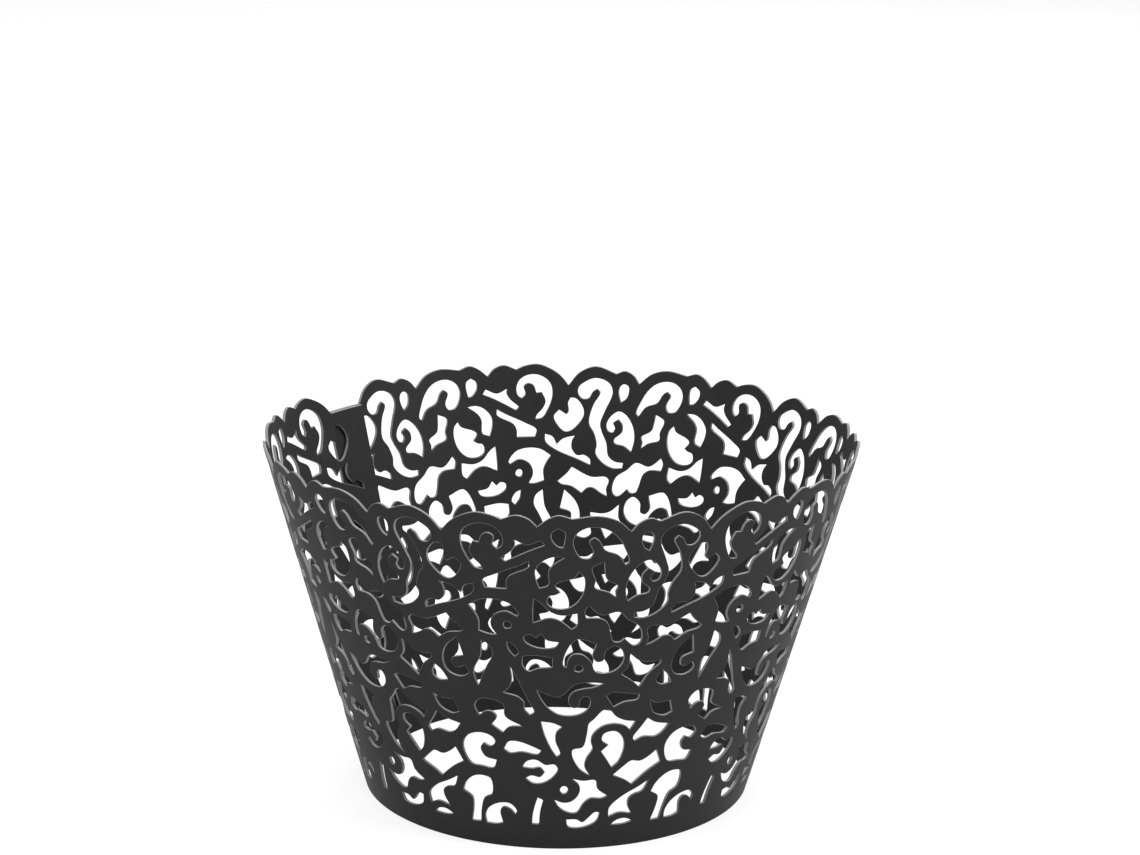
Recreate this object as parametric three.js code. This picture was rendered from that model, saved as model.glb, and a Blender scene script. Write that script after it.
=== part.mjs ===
import * as THREE from 'three';

// Paper baking cup: one sheet of black card, cut through in a vine scroll, rolled
// into an open cone and closed by a glued lap at the back. Millimetres, +Z up,
// the small end on z = 0, the front on -Y.

const cupHeight = 50;
const topDiameter = 82.4;
const bottomDiameter = 54;
const cardThickness = 0.4;

// The scroll repeats round the wall, and what is left of the circle is the lap, where
// the sheet's end lies over its start. The start eases inwards to go under.
const repeats = 7;
const repeatAngle = 50;
const lapBearing = 143.4;
const lapGap = 0.2;
const easeAngle = 8;

// Curves are traced in short steps, then kept to the points within the slack. A cut
// comes to a point where it turns by more than the tip turn, in degrees, and the base
// edge has a point at each base step.
const stepsPerSpan = 6;
const outlineSlack = 0.43;
const tipTurn = 75;
const baseStep = 3;

// Plain card left between the cuts and either end of the sheet.
const endMargin = 1.5;

// The scroll is drawn flat for one repeat. x runs round the wall from the repeat's
// start and y up the slope from the base, both in mm at the cup's mid-height. The
// scallops run from dip to dip and set the repeat's width and the wall's height.
const scallops = [
  [[0, 49.2], [1, 50.6], [2.2, 51.6], [4, 52.4], [5.8, 52.1], [6.8, 51.6]],
  [[6.8, 51.6], [8.4, 52.3], [9.7, 51.8], [10.6, 50.7]],
  [[10.6, 50.7], [11.8, 51.9], [12.9, 52.4], [14.3, 51.9]],
  [[14.3, 51.9], [17, 52.3], [19.1, 51.6], [20.7, 49.9]],
  [[20.7, 49.9], [21.5, 51.1], [22.7, 51.7], [23.8, 51.2]],
  [[23.8, 51.2], [26.5, 52.2], [28.6, 51.2], [30, 49.2]],
];

const holes = [
  // Round the curl under the first scallop.
  [[4.4, 44], [3.5, 44.2], [2.7, 45.6], [2.15, 47.5], [2.3, 49.2], [3, 50.2], [4.2, 50.8],
    [5.4, 50.7], [6.4, 50], [6.85, 48.8], [6.7, 47.7], [6.2, 47.2], [5.7, 47.8], [5.9, 49],
    [5.3, 49.5], [4.6, 49.2], [4.2, 48], [3.5, 48.1], [3, 46.7], [3.4, 45.6], [4.2, 44.6]],
  // Arrow under the plain scallop.
  [[8.1, 48.7], [9.5, 48], [11, 48.7], [11.4, 48], [10.2, 47.4], [8.7, 46.5], [7, 45.4],
    [6.6, 45.9], [7.8, 47.1], [8.2, 48]],
  // Oval in the third scallop.
  [[12.9, 50.5], [13.5, 50], [13.6, 49.1], [13.4, 47.7], [12.9, 47.8], [12.2, 48.8], [12.2, 49.9]],
  // Crescent in the fourth scallop.
  [[14.5, 48.6], [14.9, 49.8], [16, 50.6], [17.3, 50.6], [18.5, 50], [19.5, 48.8], [20.2, 47.3],
    [20.75, 45.4], [20.4, 45], [19.5, 46.5], [18, 47.3], [17.3, 48.7], [16.75, 49.2],
    [16.2, 48.6], [16.7, 47], [16.3, 46.1], [15.4, 46.2], [14.8, 47.1]],
  // Oval in the fifth scallop.
  [[22.7, 49.7], [23.2, 49.2], [23.3, 48.3], [22.95, 46.9], [22.3, 47.5], [22, 48.5], [22.1, 49.4]],
  // Long S from the sixth scallop.
  [[24.15, 48.2], [24.5, 49.5], [25.4, 50.2], [26.6, 50.4], [27.8, 49.8], [28.6, 49], [28.7, 48],
    [28.1, 47.2], [27.3, 47.3], [26.8, 48.3], [26.2, 48.8], [25.75, 48.2], [26.6, 46.3],
    [27.1, 43.5], [26.3, 41.9], [25.9, 40.2], [26, 38.9], [24.9, 37.5], [23.4, 36.8],
    [22.1, 36.9], [22, 37.7], [23.2, 37.8], [24.2, 38.6], [24.6, 40.6], [25.3, 42.2],
    [25.6, 43.5], [25, 45.6]],
  // Bean with a notch.
  [[28.3, 46.4], [29, 47.2], [29.7, 47.3], [30, 46.5], [29.9, 45.2], [30.2, 44.7], [31.2, 45.4],
    [31.9, 44.4], [31.1, 42.7], [30.3, 42.1], [29.4, 42.4], [28, 44.3], [27.9, 45.4]],
  // Flag.
  [[29, 41.5], [30.6, 41], [31.5, 40.1], [32.1, 41.3], [33.1, 41.7], [33, 40.5], [31.4, 39.2],
    [28.4, 37.9], [26.7, 37.1], [26.8, 38], [27.7, 38.6], [28.6, 38.5], [29.4, 39.5], [29.4, 40.7]],
  // Wedge beside the straight stem.
  [[4.3, 42.4], [5.8, 43.4], [8.6, 44.9], [9.6, 45.6], [9.6, 44.7], [7.4, 43.3], [7, 42.4],
    [7, 41.3], [4.5, 41.3]],
  // Left of the big ring, above and below.
  [[13.6, 46.2], [12.5, 46.3], [11.4, 45.8], [10.4, 44.4], [10.4, 43], [10.8, 41.6],
    [11.8, 42.1], [11.8, 44.1], [12.3, 45.1]],
  [[10.1, 40], [10, 37.9], [10, 36.3], [11.9, 37.1], [13.2, 36.7], [14.6, 35.4], [15.2, 36],
    [15.2, 37.8], [13.4, 37.5], [12.1, 38], [10.9, 39.4]],
  // Comma inside the big ring.
  [[15.2, 44.1], [14.8, 43.3], [13, 42.5], [12.6, 42], [13.2, 41], [12.6, 40.6], [11.9, 40.4],
    [11.7, 39.3], [12.5, 38.6], [14, 38.6], [15.2, 39.6], [15.9, 41.4], [15.8, 43.3]],
  // Arch and eyelet.
  [[2.3, 38.4], [3.8, 39.4], [5.5, 39.6], [7.2, 39.1], [8.3, 37.6], [8.1, 37.2], [6.8, 37.9],
    [5.5, 37.4], [4.9, 36.4], [4.9, 35.4], [5.5, 34.2], [4.6, 34.2], [3.3, 34.6], [3.4, 36.2],
    [2.9, 37.5]],
  [[6.4, 35.8], [6.6, 36.3], [7.1, 36.3], [7.4, 35.7], [7.1, 35.3], [6.6, 35.3]],
  // Bowl.
  [[8.9, 34.2], [9.6, 34.5], [10.3, 34], [10.9, 34.7], [11.6, 33.7], [13.1, 33.4], [12.7, 32.7],
    [11.4, 32.4], [9.9, 32.7], [8.9, 33.5]],
  // Arrow right of the big ring.
  [[18, 45.5], [16.7, 44.7], [17.15, 42.8], [17.1, 41.7], [18.7, 41], [19.6, 40.2], [19.5, 41.1],
    [19.7, 41.9], [18.4, 42.9], [18.1, 44.2]],
  // Spiral.
  [[21, 39.5], [20.7, 41.3], [21, 43.2], [22, 44.9], [23.1, 45.5], [24.2, 44.6], [24.7, 43.3],
    [24.4, 42.4], [23.8, 42.2], [23.5, 42.9], [23.8, 43.7], [23.1, 44.3], [22.5, 43.5],
    [22.5, 42.3], [23.5, 41.2], [23.4, 40.6], [22.1, 40.3]],
  // Long star.
  [[16.5, 39], [17.5, 37.9], [18.3, 37.5], [20.1, 37.9], [21.3, 36.7], [22.8, 35.5], [23.3, 34],
    [23.1, 32.9], [22.4, 32.6], [21.1, 33.8], [20.6, 33.3], [19.8, 33.4], [19.4, 34.4],
    [18.9, 36.3], [18, 37], [16.3, 37.1], [16.1, 38.2]],
  // Bone.
  [[24, 32.5], [24.2, 33.6], [23.9, 34.9], [24.4, 35.4], [26.5, 35.3], [29.3, 36.7], [30, 35.7],
    [31.3, 34.5], [30.8, 34.1], [29.3, 33.8], [27.8, 32.8], [27, 33.6], [26.2, 33.7], [24.9, 32.9]],
  // Arch over a ring, running on under a bud.
  [[13.7, 29.8], [13.8, 31.2], [14.7, 33.3], [15.5, 33.9], [17.7, 33.1], [17.3, 31.2],
    [17.9, 30.3], [18.7, 30.5], [18.9, 31.9], [20, 32.7], [21, 31.9], [21.3, 30.4], [20.6, 29.1],
    [19.2, 28.5], [17.8, 28.8], [17.2, 30.3], [16, 31.5], [14.8, 31.5], [14.2, 30.5], [14.1, 29.5]],
  // Star.
  [[22.1, 31.3], [23.3, 30.2], [24.5, 29.8], [26.3, 29.9], [26.3, 29.4], [25, 28.2], [23.8, 26],
    [22.8, 27], [21.2, 28.2], [22, 29.3]],
  // Curled C.
  [[30.3, 33.2], [28.7, 31.6], [28, 29.9], [28.1, 28.2], [28.9, 27.3], [30.4, 27.1], [31.4, 27.9],
    [31, 28.9], [30, 28.4], [29.3, 28.7], [29.3, 29.8], [30.9, 30.4], [30.6, 31.8]],
  // Banana left of the hanging leaf.
  [[3.5, 33.2], [4.5, 32.4], [4.8, 31.1], [3.9, 29.2], [2.5, 25.9], [2.1, 28.2], [3.2, 30.6],
    [3.4, 32]],
  // Long cut along the straight stem, from the leaf to its thorn.
  [[6.9, 29.5], [7.6, 28], [8.4, 26], [9.2, 24], [9.9, 22.4], [9.3, 21.9], [8.6, 22.8],
    [8.6, 23.8], [7.8, 24.7], [5.8, 25.2], [6.7, 26.1], [7.1, 27.4]],
  // Four-sided window.
  [[8.6, 31.1], [10, 31.3], [12.3, 31], [12.3, 29.5], [10.5, 29.3], [9.3, 28.8], [8.6, 29.6]],
  // Bowl under the window, round a hooked curl.
  [[10.3, 25.9], [11.6, 25.3], [12.8, 24.8], [13.9, 25.3], [14.6, 26.2], [15.4, 26.9],
    [17, 27.1], [19.1, 26.9], [17.6, 26.3], [16.2, 26.1], [15.1, 25.7], [14.5, 24.8],
    [14.6, 23.6], [15.3, 23.1], [15.9, 23.5], [16, 24.3], [16.5, 24.9], [17.1, 24.8],
    [17.4, 24.1], [17.2, 23.1], [16.4, 22.3], [15.1, 21.9], [13.2, 22.1], [11.8, 23.1],
    [10.8, 24.6]],
  // Slit above the great curl.
  [[19.4, 25], [20.3, 25.4], [21.8, 25.2], [24, 24.8], [23.8, 24], [22, 23.8], [20.6, 23.1]],
  // Thorn.
  [[10.8, 20.9], [12.4, 20.7], [13.7, 20.1], [12.9, 19.2], [12.8, 17.8], [13.5, 15.7], [13, 15.3],
    [12.2, 16.6], [11.3, 18.8]],
  // Cup-shaped cut.
  [[25.6, 23.7], [26.6, 23.1], [28.7, 23.2], [29.3, 21.3], [28.2, 20.9], [26.4, 21.7]],
  // Wing.
  [[23.9, 17.9], [24.9, 19.5], [25.7, 20.8], [26.9, 20], [29.2, 19.4], [28.3, 18.2], [27.3, 17.7],
    [25.5, 17.9], [24.2, 17.3]],
  // Great curl, outside and inside.
  [[15.3, 16.4], [15.3, 15.3], [16.4, 13.3], [18, 12.1], [17.1, 13.6], [17.3, 15], [18.1, 16.5],
    [17.8, 17.6], [18, 18.8], [19.3, 20.1], [21, 20.4], [22.6, 19.9], [23.3, 19.2], [24, 20.5],
    [22.4, 20.8], [21.1, 21.5], [20, 22.7], [19.3, 22.7], [18, 21.2], [17.4, 20.6], [17.2, 18.9],
    [16.7, 16.8]],
  [[20.1, 19.1], [21.3, 19.1], [22.4, 17.9], [22.7, 16.3], [22.1, 14.2], [21.2, 13.3],
    [20.3, 14.7], [19.4, 16], [20.4, 17], [19.4, 17.8], [19.5, 18.7]],
  // Fish.
  [[21.5, 12], [23, 13.3], [24.1, 14.1], [25.5, 13.9], [26.8, 14.5], [27.9, 15.4], [28.9, 13.3],
    [27.2, 12.3], [25.7, 11.1], [24.7, 10.2], [23.6, 11], [22.6, 11.5]],
  // Key.
  [[27.5, 10.6], [26, 9.7], [23.3, 8.3], [21.5, 6.6], [21.5, 5.1], [23.2, 5.7], [25.3, 5.3],
    [24.5, 6.7], [24.5, 7.8], [25.3, 8.5], [26.7, 8.9]],
  // Hook on the base band.
  [[14.7, 4.9], [16.3, 4.9], [17.3, 4.4], [18.1, 5], [19.2, 6], [20, 5.9], [19.6, 4.6],
    [18.2, 3.8], [16.2, 3.5], [15, 3.8]],
  // Bowl under the lower eyelet.
  [[12.7, 8.2], [14.3, 7.7], [15.7, 8.1], [16.6, 9.4], [16.5, 10.6], [15.3, 11.7], [17, 11.3],
    [18.9, 11.3], [19.3, 9.9], [21, 8.6], [20, 8.3], [18.3, 8.4], [17.2, 7.5], [16.3, 6.1],
    [15.1, 6.1], [13.6, 6.9]],
  [[13.6, 9.9], [13.9, 10.4], [14.5, 10.4], [14.8, 9.9], [14.5, 9.3], [13.9, 9.3]],
  // Lower curled C and the arc beside it.
  [[33.6, 12.9], [31.9, 13], [30.2, 13.2], [29.3, 14.8], [29.3, 16.4], [30.3, 17.8], [32.1, 18.4],
    [33.7, 18], [34.2, 17.2], [33.5, 16.4], [32.4, 16.8], [31.9, 15.9], [32.5, 14.6],
    [34.2, 14.2]],
  [[5.4, 16.1], [6.2, 17.4], [7.6, 17.5], [9.6, 16.8], [10.8, 16.2], [10.3, 15.6], [8, 15.9],
    [6.3, 15.6]],
  // Snail.
  [[8, 13.4], [8.7, 14.4], [10, 14.7], [11.4, 13.9], [12.7, 14], [13.2, 13.2], [12.3, 11.8],
    [10.8, 10.9], [9.4, 10.9], [8.4, 11.6], [9.3, 12.1], [10.6, 11.9], [11.3, 12.7], [10.6, 13.5],
    [9.5, 13.3]],
  // Upright slot.
  [[9.2, 4.1], [9.3, 5.3], [9.7, 7], [10.2, 8.5], [11, 8.1], [10.5, 6.2], [10.3, 4.1]],
  // Base arch round its bud.
  [[1.6, 3.6], [1.5, 4.8], [2.2, 6.1], [3.9, 7.1], [5.8, 7.2], [6.8, 6.1], [6.5, 5.5],
    [5.8, 6.3], [4.7, 6.6], [4.1, 5.9], [4.4, 3.9], [3.2, 3.6]],
  // Boot.
  [[28.2, 8.5], [28.8, 9.8], [30.3, 11.1], [31.8, 11.4], [33, 11], [33, 8.6], [31.7, 7.8],
    [31, 6], [30.6, 3.7], [29, 3.6], [29.6, 5.9], [29.6, 7.6]],
  // Cloud beside the lower leaf.
  [[1.7, 22.7], [2.5, 23.8], [3.9, 24], [5.7, 23.3], [5.9, 21.4], [8.3, 20], [6.4, 19.8],
    [5.4, 18.8], [3.9, 19.9], [4.7, 21.2], [4.1, 22], [3.2, 22], [2.2, 21.2]],
];

const drawnWidth = scallops.at(-1).at(-1)[0];
const drawnHeight = Math.max(...scallops.flat().map((point) => point[1]));
const lapWidth = (360 - repeats * repeatAngle) * drawnWidth / repeatAngle;
const sheetWidth = 2 * lapWidth + repeats * drawnWidth;
const lapTop = scallops[0][0][1];

// A smooth curve through the points, as a run of short steps.
function bend(points, closed) {
  const knots = points.map(([x, y]) => new THREE.Vector3(x, y, 0));
  const curve = new THREE.CatmullRomCurve3(knots, closed, 'centripetal');
  const traced = curve.getPoints((knots.length - (closed ? 0 : 1)) * stepsPerSpan);
  return traced.map((p) => new THREE.Vector2(p.x, p.y));
}

// Keeps the fewest points of a run that stay within the slack of it.
function thin(run) {
  const first = run[0];
  const last = run[run.length - 1];
  const chord = last.clone().sub(first).normalize();
  const off = run.map((p) => Math.abs(p.clone().sub(first).cross(chord)));
  const far = off.indexOf(Math.max(...off));
  if (off[far] < outlineSlack) return [first, last];
  return [...thin(run.slice(0, far + 1)).slice(0, -1), ...thin(run.slice(far))];
}

// The turn in degrees of a closed outline at one of its points.
function turnAt(points, i) {
  const at = (k) => new THREE.Vector2(...points.at(k % points.length));
  const ahead = at(i + 1).sub(at(i));
  const behind = at(i).sub(at(i - 1));
  return THREE.MathUtils.radToDeg(ahead.angleTo(behind));
}

// A closed outline, smooth between its tips. It ends where it starts.
function trace(points) {
  const tips = [...points.keys()].filter((i) => turnAt(points, i) > tipTurn);
  if (tips.length === 0) return bend(points, true);
  const round = [...points.slice(tips[0]), ...points.slice(0, tips[0] + 1)];
  const stops = [...tips.map((i) => i - tips[0]), points.length];
  const runs = stops.slice(1).map((stop, k) => bend(round.slice(stops[k], stop + 1), false));
  return [...runs.flatMap((run) => run.slice(0, -1)), runs[0][0]];
}

// A cut's outline is thinned in two halves, split at its farthest point.
function cutOutline(points) {
  const loop = trace(points);
  const reach = loop.map((p) => p.distanceTo(loop[0]));
  const far = reach.indexOf(Math.max(...reach));
  const there = thin(loop.slice(0, far + 1));
  const back = thin(loop.slice(far));
  return [...there.slice(0, -1), ...back.slice(0, -1)];
}

// The sheet's edge, anticlockwise: base, end, scalloped rim, start.
function sheetOutline() {
  const outline = [];
  const steps = Math.round(sheetWidth / baseStep);
  for (let i = 0; i <= steps; i += 1) {
    outline.push(new THREE.Vector2(sheetWidth * i / steps, 0));
  }
  for (let x = sheetWidth; x >= sheetWidth - lapWidth; x -= baseStep) {
    outline.push(new THREE.Vector2(x, lapTop));
  }
  const rim = scallops.flatMap((run) => thin(bend(run, false)).slice(0, -1)).reverse();
  for (let k = repeats - 1; k >= 0; k -= 1) {
    rim.forEach((p) => outline.push(new THREE.Vector2(p.x + lapWidth + k * drawnWidth, p.y)));
  }
  for (let x = lapWidth - baseStep; x >= 0; x -= baseStep) {
    outline.push(new THREE.Vector2(x, lapTop));
  }
  return outline;
}

// Every cut of every repeat that fits on the sheet, so some run in under the lap.
function sheetCuts() {
  const cuts = [];
  for (let k = -1; k < repeats; k += 1) {
    const left = lapWidth + k * drawnWidth;
    holes.forEach((hole) => {
      const loop = cutOutline(hole).map((p) => new THREE.Vector2(p.x + left, p.y));
      const across = loop.map((p) => p.x);
      const fits = Math.min(...across) > endMargin && Math.max(...across) < sheetWidth - endMargin;
      if (fits) cuts.push(loop);
    });
  }
  return cuts;
}

const rounding = 1e-9;

// Twice the area of a triangle, positive when it is taken anticlockwise.
function turn(a, b, c) {
  return (b.x - a.x) * (c.y - a.y) - (b.y - a.y) * (c.x - a.x);
}

// True when d lies inside the circle through a, b and c, taken anticlockwise. A
// corner on the circle itself, within rounding, isn't inside.
function inCircle(a, b, c, d) {
  const [p, q, r] = [a, b, c].map((v) => v.clone().sub(d));
  const inside = p.lengthSq() * q.cross(r) - q.lengthSq() * p.cross(r) + r.lengthSq() * p.cross(q);
  return inside > rounding;
}

// Swaps the shared sides of neighbouring triangles until none is long and thin.
function evenOut(points, faces) {
  const sides = new Map();
  const sideKey = (a, b) => (a < b ? `${a} ${b}` : `${b} ${a}`);
  const faceSides = (f) => f.map((a, i) => sideKey(a, f[(i + 1) % 3]));
  const attach = (n) => faceSides(faces[n]).forEach((key) => {
    if (!sides.has(key)) sides.set(key, new Set());
    sides.get(key).add(n);
  });
  faces.forEach((f, n) => attach(n));
  const waiting = [...sides.keys()];
  while (waiting.length > 0) {
    const key = waiting.pop();
    const pair = [...(sides.get(key) ?? [])];
    if (pair.length !== 2) continue;
    const [a, b] = key.split(' ').map(Number);
    const [c, d] = pair.map((n) => faces[n].find((v) => v !== a && v !== b));
    const [low, high] = turn(points[a], points[b], points[c]) > 0 ? [a, b] : [b, a];
    if (!inCircle(points[low], points[high], points[c], points[d])) continue;
    pair.forEach((n) => faceSides(faces[n]).forEach((side) => sides.get(side).delete(n)));
    faces[pair[0]] = [c, low, d];
    faces[pair[1]] = [d, high, c];
    pair.forEach((n) => {
      attach(n);
      faceSides(faces[n]).forEach((side) => waiting.push(side));
    });
  }
  return faces;
}

// Rolls a point of the flat sheet, sunk by depth, onto the cone. The start of the
// sheet runs inside its end, one thickness in, and eases out beyond the lap.
function roll(point, depth) {
  const angle = point.x / drawnWidth * repeatAngle;
  const height = point.y / drawnHeight * cupHeight;
  const taper = (topDiameter - bottomDiameter) / 2 * height / cupHeight;
  const lapAngle = lapWidth / drawnWidth * repeatAngle;
  const under = 1 - THREE.MathUtils.smoothstep(angle, lapAngle, lapAngle + easeAngle);
  const radius = bottomDiameter / 2 + taper - depth - under * (cardThickness + lapGap);
  const bearing = THREE.MathUtils.degToRad(lapBearing - lapAngle / 2 + angle);
  return [radius * Math.cos(bearing), radius * Math.sin(bearing), height];
}

function wallGeometry() {
  const outline = sheetOutline();
  const cuts = sheetCuts();
  const points = [...outline, ...cuts.flat()];
  const flat = THREE.ShapeUtils.triangulateShape(outline, cuts).map(([a, b, c]) => (
    turn(points[a], points[b], points[c]) > 0 ? [a, b, c] : [a, c, b]));
  const faces = evenOut(points, flat);
  const inner = points.length;
  const index = [];
  const ways = new Set();
  faces.forEach(([a, b, c]) => {
    index.push(a, b, c, a + inner, c + inner, b + inner);
    [[a, b], [b, c], [c, a]].forEach(([from, to]) => ways.add(`${from} ${to}`));
  });
  // A side met in one direction only is a cut edge and gets a wall.
  ways.forEach((way) => {
    const [from, to] = way.split(' ').map(Number);
    if (ways.has(`${to} ${from}`)) return;
    index.push(from, from + inner, to, to, from + inner, to + inner);
  });
  const outside = points.flatMap((p) => roll(p, 0));
  const inside = points.flatMap((p) => roll(p, cardThickness));
  const geometry = new THREE.BufferGeometry();
  geometry.setAttribute('position', new THREE.Float32BufferAttribute([...outside, ...inside], 3));
  geometry.setIndex(index);
  geometry.computeVertexNormals();
  return geometry;
}

const blackCard = new THREE.MeshStandardMaterial({ color: 0x202020, roughness: 0.5 });
blackCard.name = 'black_card';

const cupWall = new THREE.Mesh(wallGeometry(), blackCard);
cupWall.name = 'cup_wall';

const bakingCup = new THREE.Group();
bakingCup.name = 'paper_baking_cup';
bakingCup.add(cupWall);

export default bakingCup;
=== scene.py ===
# Black card baking cup: one laser-cut sheet rolled into a cone and lapped at the back.
import math
import bpy
import numpy as np
from mathutils import Matrix, Vector
from mathutils.geometry import delaunay_2d_cdt
from mathutils.kdtree import KDTree


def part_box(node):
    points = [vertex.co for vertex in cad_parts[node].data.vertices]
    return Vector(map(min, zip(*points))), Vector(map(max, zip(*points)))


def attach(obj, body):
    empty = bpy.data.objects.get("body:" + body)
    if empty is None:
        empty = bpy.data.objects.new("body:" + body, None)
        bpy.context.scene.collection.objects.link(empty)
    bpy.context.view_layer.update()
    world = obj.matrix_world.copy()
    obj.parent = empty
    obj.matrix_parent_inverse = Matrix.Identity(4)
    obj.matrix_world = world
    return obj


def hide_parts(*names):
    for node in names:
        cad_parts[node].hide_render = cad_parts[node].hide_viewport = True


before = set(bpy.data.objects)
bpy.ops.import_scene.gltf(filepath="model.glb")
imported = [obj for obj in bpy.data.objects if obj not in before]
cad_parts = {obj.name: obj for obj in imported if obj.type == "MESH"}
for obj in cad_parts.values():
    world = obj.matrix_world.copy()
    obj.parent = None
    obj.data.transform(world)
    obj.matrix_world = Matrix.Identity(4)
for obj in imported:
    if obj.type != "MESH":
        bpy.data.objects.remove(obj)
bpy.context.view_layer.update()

mm = 0.001  # every size below is in millimetres, every Blender length in metres


def toLinear(hexColour):
    channels = [int(hexColour[i:i + 2], 16) / 255 for i in (1, 3, 5)]
    linear = [c / 12.92 if c <= 0.04045 else ((c + 0.055) / 1.055) ** 2.4 for c in channels]
    return (*linear, 1.0)


def addNode(tree, kind, settings=None, links=None):
    # settings holds properties and input values by name, links holds input name -> output socket
    node = tree.nodes.new(kind)
    for name, value in (settings or {}).items():
        if hasattr(node, name) and name not in node.inputs:
            setattr(node, name, value)
        else:
            node.inputs[name].default_value = value
    for name, socket in (links or {}).items():
        tree.links.new(socket, node.inputs[name])
    return node


def newMaterial(name):
    material = bpy.data.materials.new(name)
    material.use_nodes = True
    material.node_tree.nodes.clear()
    return material, material.node_tree


# camera, matched to the photograph's view of the cup's rim, sides and base
photoCamera = {
    "focalPixels": 2742.6,
    "imageWidthPixels": 1140,
    "sensorWidth": 36.0,
    "standsBack": 363.7,
    "height": 145.1,
    "lookDown": 0.2543,  # radians
    "turnRight": 0.0035,
    "tilt": 0.0144,
    "nearest": 10.0,
}


def buildCamera(look):
    down, turn, tilt = look["lookDown"], look["turnRight"], look["tilt"]
    forward = Vector((math.sin(turn) * math.cos(down), math.cos(turn) * math.cos(down), -math.sin(down)))
    right = forward.cross(Vector((0, 0, 1))).normalized()
    up = right.cross(forward)
    rightTilted = right * math.cos(tilt) + up * math.sin(tilt)
    upTilted = up * math.cos(tilt) - right * math.sin(tilt)
    data = bpy.data.cameras.new("photoCamera")
    data.sensor_width = look["sensorWidth"]
    data.lens = look["sensorWidth"] * look["focalPixels"] / look["imageWidthPixels"]
    data.clip_start = look["nearest"] * mm
    camera = bpy.data.objects.new("photoCamera", data)
    place = Matrix((rightTilted, upTilted, -forward)).transposed().to_4x4()
    place.translation = Vector((0, -look["standsBack"], look["height"])) * mm
    camera.matrix_world = place
    bpy.context.scene.collection.objects.link(camera)
    bpy.context.scene.camera = camera


buildCamera(photoCamera)
print("camera placed")

# card wall: the sheet is drawn flat, x round the wall and y up its slope, both in mm
# at the mid-height of the cup, and each repeat of the scroll is repeatWidth wide
cardWall = {
    "baseToTop": 54.0 / 82.4,     # base diameter as a share of the rim's
    "thickness": 0.4,
    "repeats": 7,
    "repeatAngle": 50.0,          # degrees
    "repeatWidth": 30.0,
    "drawnHeight": 52.4,
    "lapBearing": 143.4,
    "lapGap": 0.2,
    "endMargin": 1.5,             # plain card between the cuts and the ends of the sheet
    "easeAngle": 8.0,
    "stepsPerSpan": 4,            # points traced between two drawn points
    "tipTurn": 75.0,              # degrees, a cut comes to a point where it turns by more
    "edgeStep": 1.0,              # along the straight edges
    "edgeRound": 0.05,            # the cut edge is slightly rounded
    "fillSpacing": 2.0,           # between points inside the solid card
    "fillClearance": 0.6,
    "mergeWithin": 1e-7,          # points of the flat sheet nearer than this are one
    "creaseAngle": 35.0,          # degrees, sharper edges keep a hard shade
    "ripples": ((3, 0.22, 0.4), (8, 0.1, 2.0), (19, 0.05, 1.1)),  # waves round, depth, start
}
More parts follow.
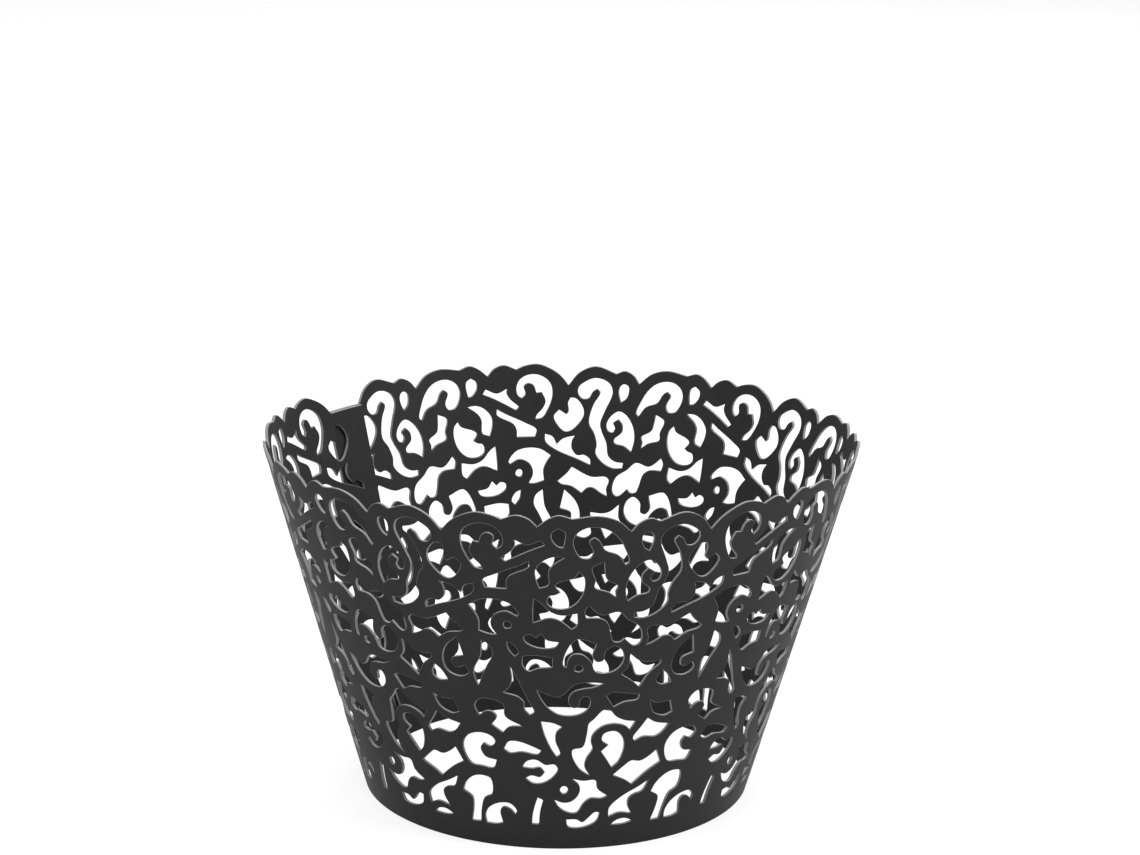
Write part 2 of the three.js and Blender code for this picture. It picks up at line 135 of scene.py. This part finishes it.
scroll = {
    "scallops": [
      [[0, 49.2], [1, 50.6], [2.2, 51.6], [4, 52.4], [5.8, 52.1], [6.8, 51.6]],
      [[6.8, 51.6], [8.4, 52.3], [9.7, 51.8], [10.6, 50.7]],
      [[10.6, 50.7], [11.8, 51.9], [12.9, 52.4], [14.3, 51.9]],
      [[14.3, 51.9], [17, 52.3], [19.1, 51.6], [20.7, 49.9]],
      [[20.7, 49.9], [21.5, 51.1], [22.7, 51.7], [23.8, 51.2]],
      [[23.8, 51.2], [26.5, 52.2], [28.6, 51.2], [30, 49.2]],
    ],
    "cuts": [
      # Round the curl under the first scallop.
      [[4.4, 44], [3.5, 44.2], [2.7, 45.6], [2.15, 47.5], [2.3, 49.2], [3, 50.2], [4.2, 50.8],
        [5.4, 50.7], [6.4, 50], [6.85, 48.8], [6.7, 47.7], [6.2, 47.2], [5.7, 47.8], [5.9, 49],
        [5.3, 49.5], [4.6, 49.2], [4.2, 48], [3.5, 48.1], [3, 46.7], [3.4, 45.6], [4.2, 44.6]],
      # Arrow under the plain scallop.
      [[8.1, 48.7], [9.5, 48], [11, 48.7], [11.4, 48], [10.2, 47.4], [8.7, 46.5], [7, 45.4],
        [6.6, 45.9], [7.8, 47.1], [8.2, 48]],
      # Oval in the third scallop.
      [[12.9, 50.5], [13.5, 50], [13.6, 49.1], [13.4, 47.7], [12.9, 47.8], [12.2, 48.8], [12.2, 49.9]],
      # Crescent in the fourth scallop.
      [[14.5, 48.6], [14.9, 49.8], [16, 50.6], [17.3, 50.6], [18.5, 50], [19.5, 48.8], [20.2, 47.3],
        [20.75, 45.4], [20.4, 45], [19.5, 46.5], [18, 47.3], [17.3, 48.7], [16.75, 49.2],
        [16.2, 48.6], [16.7, 47], [16.3, 46.1], [15.4, 46.2], [14.8, 47.1]],
      # Oval in the fifth scallop.
      [[22.7, 49.7], [23.2, 49.2], [23.3, 48.3], [22.95, 46.9], [22.3, 47.5], [22, 48.5], [22.1, 49.4]],
      # Long S from the sixth scallop.
      [[24.15, 48.2], [24.5, 49.5], [25.4, 50.2], [26.6, 50.4], [27.8, 49.8], [28.6, 49], [28.7, 48],
        [28.1, 47.2], [27.3, 47.3], [26.8, 48.3], [26.2, 48.8], [25.75, 48.2], [26.6, 46.3],
        [27.1, 43.5], [26.3, 41.9], [25.9, 40.2], [26, 38.9], [24.9, 37.5], [23.4, 36.8],
        [22.1, 36.9], [22, 37.7], [23.2, 37.8], [24.2, 38.6], [24.6, 40.6], [25.3, 42.2],
        [25.6, 43.5], [25, 45.6]],
      # Bean with a notch.
      [[28.3, 46.4], [29, 47.2], [29.7, 47.3], [30, 46.5], [29.9, 45.2], [30.2, 44.7], [31.2, 45.4],
        [31.9, 44.4], [31.1, 42.7], [30.3, 42.1], [29.4, 42.4], [28, 44.3], [27.9, 45.4]],
      # Flag.
      [[29, 41.5], [30.6, 41], [31.5, 40.1], [32.1, 41.3], [33.1, 41.7], [33, 40.5], [31.4, 39.2],
        [28.4, 37.9], [26.7, 37.1], [26.8, 38], [27.7, 38.6], [28.6, 38.5], [29.4, 39.5], [29.4, 40.7]],
      # Wedge beside the straight stem.
      [[4.3, 42.4], [5.8, 43.4], [8.6, 44.9], [9.6, 45.6], [9.6, 44.7], [7.4, 43.3], [7, 42.4],
        [7, 41.3], [4.5, 41.3]],
      # Left of the big ring, above and below.
      [[13.6, 46.2], [12.5, 46.3], [11.4, 45.8], [10.4, 44.4], [10.4, 43], [10.8, 41.6],
        [11.8, 42.1], [11.8, 44.1], [12.3, 45.1]],
      [[10.1, 40], [10, 37.9], [10, 36.3], [11.9, 37.1], [13.2, 36.7], [14.6, 35.4], [15.2, 36],
        [15.2, 37.8], [13.4, 37.5], [12.1, 38], [10.9, 39.4]],
      # Comma inside the big ring.
      [[15.2, 44.1], [14.8, 43.3], [13, 42.5], [12.6, 42], [13.2, 41], [12.6, 40.6], [11.9, 40.4],
        [11.7, 39.3], [12.5, 38.6], [14, 38.6], [15.2, 39.6], [15.9, 41.4], [15.8, 43.3]],
      # Arch and eyelet.
      [[2.3, 38.4], [3.8, 39.4], [5.5, 39.6], [7.2, 39.1], [8.3, 37.6], [8.1, 37.2], [6.8, 37.9],
        [5.5, 37.4], [4.9, 36.4], [4.9, 35.4], [5.5, 34.2], [4.6, 34.2], [3.3, 34.6], [3.4, 36.2],
        [2.9, 37.5]],
      [[6.4, 35.8], [6.6, 36.3], [7.1, 36.3], [7.4, 35.7], [7.1, 35.3], [6.6, 35.3]],
      # Bowl.
      [[8.9, 34.2], [9.6, 34.5], [10.3, 34], [10.9, 34.7], [11.6, 33.7], [13.1, 33.4], [12.7, 32.7],
        [11.4, 32.4], [9.9, 32.7], [8.9, 33.5]],
      # Arrow right of the big ring.
      [[18, 45.5], [16.7, 44.7], [17.15, 42.8], [17.1, 41.7], [18.7, 41], [19.6, 40.2], [19.5, 41.1],
        [19.7, 41.9], [18.4, 42.9], [18.1, 44.2]],
      # Spiral.
      [[21, 39.5], [20.7, 41.3], [21, 43.2], [22, 44.9], [23.1, 45.5], [24.2, 44.6], [24.7, 43.3],
        [24.4, 42.4], [23.8, 42.2], [23.5, 42.9], [23.8, 43.7], [23.1, 44.3], [22.5, 43.5],
        [22.5, 42.3], [23.5, 41.2], [23.4, 40.6], [22.1, 40.3]],
      # Long star.
      [[16.5, 39], [17.5, 37.9], [18.3, 37.5], [20.1, 37.9], [21.3, 36.7], [22.8, 35.5], [23.3, 34],
        [23.1, 32.9], [22.4, 32.6], [21.1, 33.8], [20.6, 33.3], [19.8, 33.4], [19.4, 34.4],
        [18.9, 36.3], [18, 37], [16.3, 37.1], [16.1, 38.2]],
      # Bone.
      [[24, 32.5], [24.2, 33.6], [23.9, 34.9], [24.4, 35.4], [26.5, 35.3], [29.3, 36.7], [30, 35.7],
        [31.3, 34.5], [30.8, 34.1], [29.3, 33.8], [27.8, 32.8], [27, 33.6], [26.2, 33.7], [24.9, 32.9]],
      # Arch over a ring, running on under a bud.
      [[13.7, 29.8], [13.8, 31.2], [14.7, 33.3], [15.5, 33.9], [17.7, 33.1], [17.3, 31.2],
        [17.9, 30.3], [18.7, 30.5], [18.9, 31.9], [20, 32.7], [21, 31.9], [21.3, 30.4], [20.6, 29.1],
        [19.2, 28.5], [17.8, 28.8], [17.2, 30.3], [16, 31.5], [14.8, 31.5], [14.2, 30.5], [14.1, 29.5]],
      [[15.1, 29], [15.3, 29.8], [15.9, 29.9], [16.2, 29.2], [15.7, 28.8]],
      # Star.
      [[22.1, 31.3], [23.3, 30.2], [24.5, 29.8], [26.3, 29.9], [26.3, 29.4], [25, 28.2], [23.8, 26],
        [22.8, 27], [21.2, 28.2], [22, 29.3]],
      # Curled C.
      [[30.3, 33.2], [28.7, 31.6], [28, 29.9], [28.1, 28.2], [28.9, 27.3], [30.4, 27.1], [31.4, 27.9],
        [31, 28.9], [30, 28.4], [29.3, 28.7], [29.3, 29.8], [30.9, 30.4], [30.6, 31.8]],
      # Small three-corner cut.
      [[26.6, 28.4], [27.5, 27.6], [28.3, 26.2], [27, 26], [26.1, 26.7]],
      # Banana left of the hanging leaf.
      [[3.5, 33.2], [4.5, 32.4], [4.8, 31.1], [3.9, 29.2], [2.5, 25.9], [2.1, 28.2], [3.2, 30.6],
        [3.4, 32]],
      # Between the leaf's neck and the vine.
      [[6.7, 33.2], [7.5, 32.8], [8.1, 31.6], [7.6, 31], [6.9, 32]],
      # Long cut along the straight stem, from the leaf to its thorn.
      [[6.9, 29.5], [7.6, 28], [8.4, 26], [9.2, 24], [9.9, 22.4], [9.3, 21.9], [8.6, 22.8],
        [8.6, 23.8], [7.8, 24.7], [5.8, 25.2], [6.7, 26.1], [7.1, 27.4]],
      # Four-sided window.
      [[8.6, 31.1], [10, 31.3], [12.3, 31], [12.3, 29.5], [10.5, 29.3], [9.3, 28.8], [8.6, 29.6]],
      # Bowl under the window, round a hooked curl.
      [[10.3, 25.9], [11.6, 25.3], [12.8, 24.8], [13.9, 25.3], [14.6, 26.2], [15.4, 26.9],
        [17, 27.1], [19.1, 26.9], [17.6, 26.3], [16.2, 26.1], [15.1, 25.7], [14.5, 24.8],
        [14.6, 23.6], [15.3, 23.1], [15.9, 23.5], [16, 24.3], [16.5, 24.9], [17.1, 24.8],
        [17.4, 24.1], [17.2, 23.1], [16.4, 22.3], [15.1, 21.9], [13.2, 22.1], [11.8, 23.1],
        [10.8, 24.6]],
      # Slit above the great curl.
      [[19.4, 25], [20.3, 25.4], [21.8, 25.2], [24, 24.8], [23.8, 24], [22, 23.8], [20.6, 23.1]],
      # Thorn.
      [[10.8, 20.9], [12.4, 20.7], [13.7, 20.1], [12.9, 19.2], [12.8, 17.8], [13.5, 15.7], [13, 15.3],
        [12.2, 16.6], [11.3, 18.8]],
      # Cup-shaped cut.
      [[25.6, 23.7], [26.6, 23.1], [28.7, 23.2], [29.3, 21.3], [28.2, 20.9], [26.4, 21.7]],
      # Wing.
      [[23.9, 17.9], [24.9, 19.5], [25.7, 20.8], [26.9, 20], [29.2, 19.4], [28.3, 18.2], [27.3, 17.7],
        [25.5, 17.9], [24.2, 17.3]],
      # Great curl, outside and inside.
      [[15.3, 16.4], [15.3, 15.3], [16.4, 13.3], [18, 12.1], [17.1, 13.6], [17.3, 15], [18.1, 16.5],
        [17.8, 17.6], [18, 18.8], [19.3, 20.1], [21, 20.4], [22.6, 19.9], [23.3, 19.2], [24, 20.5],
        [22.4, 20.8], [21.1, 21.5], [20, 22.7], [19.3, 22.7], [18, 21.2], [17.4, 20.6], [17.2, 18.9],
        [16.7, 16.8]],
      [[20.1, 19.1], [21.3, 19.1], [22.4, 17.9], [22.7, 16.3], [22.1, 14.2], [21.2, 13.3],
        [20.3, 14.7], [19.4, 16], [20.4, 17], [19.4, 17.8], [19.5, 18.7]],
      # Fish.
      [[21.5, 12], [23, 13.3], [24.1, 14.1], [25.5, 13.9], [26.8, 14.5], [27.9, 15.4], [28.9, 13.3],
        [27.2, 12.3], [25.7, 11.1], [24.7, 10.2], [23.6, 11], [22.6, 11.5]],
      # Key.
      [[27.5, 10.6], [26, 9.7], [23.3, 8.3], [21.5, 6.6], [21.5, 5.1], [23.2, 5.7], [25.3, 5.3],
        [24.5, 6.7], [24.5, 7.8], [25.3, 8.5], [26.7, 8.9]],
      # Slit on the base band.
      [[22, 3.7], [22.9, 4.4], [24.3, 4.6], [25.7, 4], [24.2, 3.7]],
      # Hook on the base band.
      [[14.7, 4.9], [16.3, 4.9], [17.3, 4.4], [18.1, 5], [19.2, 6], [20, 5.9], [19.6, 4.6],
        [18.2, 3.8], [16.2, 3.5], [15, 3.8]],
      # Bowl under the lower eyelet.
      [[12.7, 8.2], [14.3, 7.7], [15.7, 8.1], [16.6, 9.4], [16.5, 10.6], [15.3, 11.7], [17, 11.3],
        [18.9, 11.3], [19.3, 9.9], [21, 8.6], [20, 8.3], [18.3, 8.4], [17.2, 7.5], [16.3, 6.1],
        [15.1, 6.1], [13.6, 6.9]],
      [[13.6, 9.9], [13.9, 10.4], [14.5, 10.4], [14.8, 9.9], [14.5, 9.3], [13.9, 9.3]],
      # Lower curled C and the arc beside it.
      [[33.6, 12.9], [31.9, 13], [30.2, 13.2], [29.3, 14.8], [29.3, 16.4], [30.3, 17.8], [32.1, 18.4],
        [33.7, 18], [34.2, 17.2], [33.5, 16.4], [32.4, 16.8], [31.9, 15.9], [32.5, 14.6],
        [34.2, 14.2]],
      [[5.4, 16.1], [6.2, 17.4], [7.6, 17.5], [9.6, 16.8], [10.8, 16.2], [10.3, 15.6], [8, 15.9],
        [6.3, 15.6]],
      # Snail.
      [[8, 13.4], [8.7, 14.4], [10, 14.7], [11.4, 13.9], [12.7, 14], [13.2, 13.2], [12.3, 11.8],
        [10.8, 10.9], [9.4, 10.9], [8.4, 11.6], [9.3, 12.1], [10.6, 11.9], [11.3, 12.7], [10.6, 13.5],
        [9.5, 13.3]],
      # Upright slot.
      [[9.2, 4.1], [9.3, 5.3], [9.7, 7], [10.2, 8.5], [11, 8.1], [10.5, 6.2], [10.3, 4.1]],
      # Base arch round its bud.
      [[1.6, 3.6], [1.5, 4.8], [2.2, 6.1], [3.9, 7.1], [5.8, 7.2], [6.8, 6.1], [6.5, 5.5],
        [5.8, 6.3], [4.7, 6.6], [4.1, 5.9], [4.4, 3.9], [3.2, 3.6]],
      # Boot.
      [[28.2, 8.5], [28.8, 9.8], [30.3, 11.1], [31.8, 11.4], [33, 11], [33, 8.6], [31.7, 7.8],
        [31, 6], [30.6, 3.7], [29, 3.6], [29.6, 5.9], [29.6, 7.6]],
      # Cloud beside the lower leaf.
      [[1.7, 22.7], [2.5, 23.8], [3.9, 24], [5.7, 23.3], [5.9, 21.4], [8.3, 20], [6.4, 19.8],
        [5.4, 18.8], [3.9, 19.9], [4.7, 21.2], [4.1, 22], [3.2, 22], [2.2, 21.2]],
    ],
}


def smoothCurve(points, closed, steps):
    # centripetal Catmull-Rom through the drawn points
    knots = np.array(points, float)
    if closed:
        knots = np.vstack([knots[-1], knots, knots[0], knots[1]])
    else:
        knots = np.vstack([2 * knots[0] - knots[1], knots, 2 * knots[-1] - knots[-2]])
    traced = []
    for i in range(len(knots) - 3):
        p = knots[i:i + 4]
        t = np.concatenate([[0], np.cumsum(np.linalg.norm(np.diff(p, axis=0), axis=1) ** 0.5)])
        for at in t[1] + (t[2] - t[1]) * np.arange(steps) / steps:
            a = [((t[k + 1] - at) * p[k] + (at - t[k]) * p[k + 1]) / (t[k + 1] - t[k]) for k in range(3)]
            b = [((t[k + 2] - at) * a[k] + (at - t[k]) * a[k + 1]) / (t[k + 2] - t[k]) for k in range(2)]
            traced.append(((t[2] - at) * b[0] + (at - t[1]) * b[1]) / (t[2] - t[1]))
    return np.array(traced)


def cutLoop(points, steps, tipTurn):
    # a closed outline, smooth between the tips where it turns sharply
    knots = np.array(points, float)
    ahead = np.roll(knots, -1, axis=0) - knots
    way = np.arctan2(ahead[:, 1], ahead[:, 0])
    turn = np.degrees(np.abs((way - np.roll(way, 1) + math.pi) % (2 * math.pi) - math.pi))
    tips = np.nonzero(turn > tipTurn)[0]
    if len(tips) == 0:
        return smoothCurve(knots, True, steps)
    knots = np.roll(knots, -tips[0], axis=0)
    knots = np.vstack([knots, knots[0]])
    stops = [*(tips - tips[0]), len(points)]
    return np.vstack([smoothCurve(knots[a:b + 1], False, steps) for a, b in zip(stops[:-1], stops[1:])])


def straightRun(start, end, step):
    # points from start towards end, without the end itself
    start, end = np.array(start, float), np.array(end, float)
    count = max(1, round(np.linalg.norm(end - start) / step))
    return start + (end - start) * (np.arange(count) / count)[:, None]


def sheetLoops(sheet, drawing):
    # the sheet's edge anticlockwise and every cut clockwise, so the card is on the left
    lapWidth = (360 - sheet["repeats"] * sheet["repeatAngle"]) * sheet["repeatWidth"] / sheet["repeatAngle"]
    width = 2 * lapWidth + sheet["repeats"] * sheet["repeatWidth"]
    lapTop = drawing["scallops"][0][0][1]
    rim = np.vstack([smoothCurve(run, False, sheet["stepsPerSpan"]) for run in drawing["scallops"]])
    rimWay = [rim + (lapWidth + k * sheet["repeatWidth"], 0) for k in range(sheet["repeats"])]
    rimWay = np.vstack([*rimWay, [[width - lapWidth, lapTop]]])[::-1]
    step = sheet["edgeStep"]
    edge = np.vstack([
        straightRun((0, 0), (width, 0), step),
        straightRun((width, 0), (width, lapTop), step),
        straightRun((width, lapTop), rimWay[0], step),
        rimWay[:-1],
        straightRun(rimWay[-1], (0, lapTop), step),
        straightRun((0, lapTop), (0, 0), step),
    ])
    loops = [edge]
    for k in range(-1, sheet["repeats"]):
        for cut in drawing["cuts"]:
            loop = cutLoop(cut, sheet["stepsPerSpan"], sheet["tipTurn"])
            loop = loop + (lapWidth + k * sheet["repeatWidth"], 0)
            # those that fit on the sheet, so some run in under the lap
            if loop[:, 0].min() > sheet["endMargin"] and loop[:, 0].max() < width - sheet["endMargin"]:
                after = np.roll(loop, -1, axis=0)
                turning = (loop[:, 0] * after[:, 1] - after[:, 0] * loop[:, 1]).sum()
                loops.append(loop[::-1] if turning > 0 else loop)
    return loops, lapWidth, width


def drawnIn(loop, distance):
    # the loop moved into the card by distance
    ahead = np.roll(loop, -1, axis=0) - loop
    behind = loop - np.roll(loop, 1, axis=0)
    way = ahead / np.linalg.norm(ahead, axis=1)[:, None] + behind / np.linalg.norm(behind, axis=1)[:, None]
    way /= np.maximum(np.linalg.norm(way, axis=1), 1e-6)[:, None]
    return loop + distance * np.stack([-way[:, 1], way[:, 0]], axis=1)


def onCard(points, loops):
    # true where a point lies on the card: inside the sheet's edge and in no cut
    inside = np.zeros(len(points), bool)
    for loop in loops:
        near = np.nonzero(((points > loop.min(axis=0)) & (points < loop.max(axis=0))).all(axis=1))[0]
        x, y = points[near].T
        for here, there in zip(loop, np.roll(loop, -1, axis=0)):
            crosses = (here[1] > y) != (there[1] > y)
            if crosses.any():
                at = here[0] + (y[crosses] - here[1]) * (there[0] - here[0]) / (there[1] - here[1])
                inside[near[crosses]] ^= x[crosses] < at
    return inside


def fillPoints(loops, width, height, spacing, clearance):
    # a triangular grid of points inside the card, clear of every edge
    rows = np.arange(spacing, height, spacing * math.sin(math.pi / 3))
    grid = np.array([(x + 0.5 * spacing * (k % 2), y)
                     for k, y in enumerate(rows) for x in np.arange(spacing, width, spacing)])
    every = np.vstack(loops)
    tree = KDTree(len(every))
    for i, (x, y) in enumerate(every):
        tree.insert((x, y, 0), i)
    tree.balance()
    return np.array([p for p in grid[onCard(grid, loops)] if tree.find((p[0], p[1], 0))[2] > clearance])


def roll(points, depth, sheet, lapWidth, rimRadius, height):
    # flat mm to metres on the cone; the start of the sheet goes in under its end
    angle = points[:, 0] / sheet["repeatWidth"] * sheet["repeatAngle"]
    lapAngle = lapWidth / sheet["repeatWidth"] * sheet["repeatAngle"]
    rise = points[:, 1] / sheet["drawnHeight"]
    share = np.clip((angle - lapAngle) / sheet["easeAngle"], 0, 1)
    under = 1 - share * share * (3 - 2 * share)
    radius = rimRadius / mm * (sheet["baseToTop"] + (1 - sheet["baseToTop"]) * rise)
    for waves, deep, start in sheet["ripples"]:
        radius -= deep * rise ** 2 * (0.5 + 0.5 * np.sin(np.radians(angle) * waves + start))
    radius -= depth + under * (sheet["thickness"] + sheet["lapGap"])
    bearing = np.radians(sheet["lapBearing"] - lapAngle / 2 + angle)
    return np.stack([radius * np.cos(bearing) * mm, radius * np.sin(bearing) * mm, rise * height], axis=1)


def buildWall(sheet, drawing):
    low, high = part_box("cup_wall")
    rimRadius = min(-low[0], high[0], -low[1], high[1])
    height = high[2]
    loops, lapWidth, width = sheetLoops(sheet, drawing)
    faceLoops = [drawnIn(loop, sheet["edgeRound"]) for loop in loops]
    fill = fillPoints(loops, width, sheet["drawnHeight"], sheet["fillSpacing"], sheet["fillClearance"])
    flat = [Vector(p) for p in np.vstack([*faceLoops, fill])]
    starts = np.cumsum([0] + [len(loop) for loop in loops])
    rings = [np.arange(a, b) for a, b in zip(starts[:-1], starts[1:])]
    sides = [(int(a), int(b)) for ring in rings for a, b in zip(ring, np.roll(ring, -1))]
    solved, _, triangles, origins, _, _ = delaunay_2d_cdt(flat, sides, [], 0, sheet["mergeWithin"], True)
    face = np.array([tuple(p) for p in solved])
    triangles = np.array(triangles)
    triangles = triangles[onCard(face[triangles].mean(axis=1), faceLoops)]
    place = np.zeros(len(flat), int)
    for i, sources in enumerate(origins):
        for source in sources:
            place[source] = i
    print("flat sheet:", len(solved), "points,", len(triangles), "triangles,", len(loops) - 1, "cuts")

    edge = np.vstack(loops)
    thick, soft = sheet["thickness"], sheet["edgeRound"]
    layers = [(face, 0), (edge, soft), (edge, thick - soft), (face, thick)]
    points = np.vstack([roll(p, d, sheet, lapWidth, rimRadius, height) for p, d in layers])
    firstEdge, secondEdge = len(face), len(face) + len(edge)
    back = len(face) + 2 * len(edge)
    faces = [tuple(t) for t in triangles.tolist()]
    faces += [(c + back, b + back, a + back) for a, b, c in triangles.tolist()]
    cardFaces = len(faces)
    for ring in rings:
        for a, b in zip(ring, np.roll(ring, -1)):
            levels = [(place[a], place[b]), (firstEdge + a, firstEdge + b),
                      (secondEdge + a, secondEdge + b), (back + place[a], back + place[b])]
            for (a0, b0), (a1, b1) in zip(levels[:-1], levels[1:]):
                faces.append((int(a0), int(a1), int(b1), int(b0)))

    mesh = bpy.data.meshes.new("scrollworkWall")
    mesh.from_pydata([tuple(p) for p in points], [], faces)
    mesh.materials.append(satinCard)
    mesh.materials.append(paintedHighlightEdge)
    mesh.polygons.foreach_set("material_index", [0] * cardFaces + [1] * (len(faces) - cardFaces))
    mesh.polygons.foreach_set("use_smooth", [True] * len(faces))
    mesh.update()
    mesh.set_sharp_from_angle(angle=math.radians(sheet["creaseAngle"]))
    wall = bpy.data.objects.new("scrollworkWall", mesh)
    bpy.context.scene.collection.objects.link(wall)
    return wall


# black card, dyed through and pressed smooth: near-black, with a soft sheen only at a slant
cardLook = {
    "colour": "#202020",
    "fleckColour": "#252525",   # slightly paler clouds in the card
    "roughness": 0.5,
    "sheen": 0.05,          # specular level, low for uncoated card
    "fibreSize": 0.12,      # mm, drawn coarser than real fibres so that it shows
    "mottleSize": 2.5,      # mm
    "fibreDepth": 0.012,    # mm
    "fibreStrength": 0.5,
    "fibreDetail": 2.0,
    "mottleDetail": 3.0,
}


def buildCard(look):
    material, tree = newMaterial("satinBlackCard")
    where = addNode(tree, "ShaderNodeTexCoord")
    fibre = addNode(tree, "ShaderNodeTexNoise",
                    {"Scale": 1 / (look["fibreSize"] * mm), "Detail": look["fibreDetail"]},
                    {"Vector": where.outputs["Object"]})
    mottle = addNode(tree, "ShaderNodeTexNoise",
                     {"Scale": 1 / (look["mottleSize"] * mm), "Detail": look["mottleDetail"]},
                     {"Vector": where.outputs["Object"]})
    tone = addNode(tree, "ShaderNodeMix", {"data_type": "RGBA"})
    tone.inputs[6].default_value = toLinear(look["colour"])
    tone.inputs[7].default_value = toLinear(look["fleckColour"])
    tree.links.new(mottle.outputs["Fac"], tone.inputs[0])
    relief = addNode(tree, "ShaderNodeBump",
                     {"Strength": look["fibreStrength"], "Distance": look["fibreDepth"] * mm},
                     {"Height": fibre.outputs["Fac"]})
    shader = addNode(tree, "ShaderNodeBsdfPrincipled",
                     {"Roughness": look["roughness"], "Specular IOR Level": look["sheen"]},
                     {"Base Color": tone.outputs[2], "Normal": relief.outputs["Normal"]})
    addNode(tree, "ShaderNodeOutputMaterial", None, {"Surface": shader.outputs["BSDF"]})
    return material


# the card's cut edge is a slightly rough grey line. The dyed card's own edge is dark grey, and the rest of
# this pale grey is a painted highlight for the shine the cut edges catch
edgeLook = {"colour": "#686868", "roughness": 0.5, "sheen": 0.15}


def buildEdge(look):
    material, tree = newMaterial("cutEdgePaintedHighlight")
    shader = addNode(tree, "ShaderNodeBsdfPrincipled",
                     {"Base Color": toLinear(look["colour"]), "Roughness": look["roughness"],
                      "Specular IOR Level": look["sheen"]})
    addNode(tree, "ShaderNodeOutputMaterial", None, {"Surface": shader.outputs["BSDF"]})
    return material


satinCard = buildCard(cardLook)
# the cut edge's pale grey is mostly painted highlight on a dark grey edge
paintedHighlightEdge = buildEdge(edgeLook)
print("card materials made")

wall = buildWall(cardWall, scroll)
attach(wall, "root")
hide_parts("cup_wall")
print("wall built:", len(wall.data.vertices), "points")

# floor and light: plain pale table that reads as nearly white and keeps the cup's shadow
studio = {
    "floorSize": 6.0,            # metres
    "floorColour": "#f2f2f2",
    "floorGlow": 0.8,            # share of plain white in what is seen of it
    "worldLight": 0.5,
    "aimHeight": 0.025,          # metres, the lamps point at the cup's middle
    "lamps": {                   # metres, watts
        "overhead": {"at": (-0.15, -0.1, 0.9), "size": 0.8, "power": 8.0},
        "leftSoftbox": {"at": (-0.8, -0.6, 0.45), "size": 0.6, "power": 5.0},
        "rightSoftbox": {"at": (0.8, -0.3, 0.55), "size": 0.5, "power": 10.0},
        "rearStrip": {"at": (0.25, 0.8, 0.6), "size": 0.6, "power": 5.0},
    },
}


def seenShare(tree, share):
    # share for rays that show the backdrop: from the camera, or by way of a shine or of glass
    ray = addNode(tree, "ShaderNodeLightPath")
    seen = ray.outputs["Is Camera Ray"]
    for kind in ("Is Glossy Ray", "Is Transmission Ray"):
        either = addNode(tree, "ShaderNodeMath", {"operation": "MAXIMUM"})
        tree.links.new(seen, either.inputs[0])
        tree.links.new(ray.outputs[kind], either.inputs[1])
        seen = either.outputs[0]
    scaled = addNode(tree, "ShaderNodeMath", {"operation": "MULTIPLY"})
    tree.links.new(seen, scaled.inputs[0])
    scaled.inputs[1].default_value = share
    return scaled.outputs[0]


def buildStudio(look):
    material, tree = newMaterial("paleTable")
    matt = addNode(tree, "ShaderNodeBsdfDiffuse", {"Color": toLinear(look["floorColour"])})
    glow = addNode(tree, "ShaderNodeEmission", {"Color": (1, 1, 1, 1), "Strength": 1.0})
    mixed = addNode(tree, "ShaderNodeMixShader")
    tree.links.new(seenShare(tree, look["floorGlow"]), mixed.inputs[0])
    tree.links.new(matt.outputs[0], mixed.inputs[1])
    tree.links.new(glow.outputs[0], mixed.inputs[2])
    addNode(tree, "ShaderNodeOutputMaterial", None, {"Surface": mixed.outputs[0]})
    half = look["floorSize"] / 2
    mesh = bpy.data.meshes.new("table")
    corners = [(-half, -half, 0), (half, -half, 0), (half, half, 0), (-half, half, 0)]
    mesh.from_pydata(corners, [], [(0, 1, 2, 3)])
    mesh.materials.append(material)
    table = bpy.data.objects.new("table", mesh)
    bpy.context.scene.collection.objects.link(table)

    world = bpy.data.worlds.new("studioWorld")
    bpy.context.scene.world = world
    world.use_nodes = True
    sky = world.node_tree
    sky.nodes.clear()
    backdrop = addNode(sky, "ShaderNodeBackground", {"Color": (1, 1, 1, 1), "Strength": 1.0})
    ambient = addNode(sky, "ShaderNodeBackground", {"Color": (1, 1, 1, 1), "Strength": look["worldLight"]})
    choice = addNode(sky, "ShaderNodeMixShader")
    sky.links.new(seenShare(sky, 1.0), choice.inputs[0])
    sky.links.new(ambient.outputs[0], choice.inputs[1])
    sky.links.new(backdrop.outputs[0], choice.inputs[2])
    addNode(sky, "ShaderNodeOutputWorld", None, {"Surface": choice.outputs[0]})

    for name, lamp in look["lamps"].items():
        light = bpy.data.lights.new(name, "AREA")
        light.shape = "DISK"
        light.size = lamp["size"]
        light.energy = lamp["power"]
        holder = bpy.data.objects.new(name, light)
        holder.location = lamp["at"]
        aim = Vector((0, 0, look["aimHeight"])) - Vector(lamp["at"])
        holder.rotation_euler = aim.to_track_quat("-Z", "Y").to_euler()
        bpy.context.scene.collection.objects.link(holder)


buildStudio(studio)
bpy.context.scene.view_settings.view_transform = "Standard"
print("studio lit")
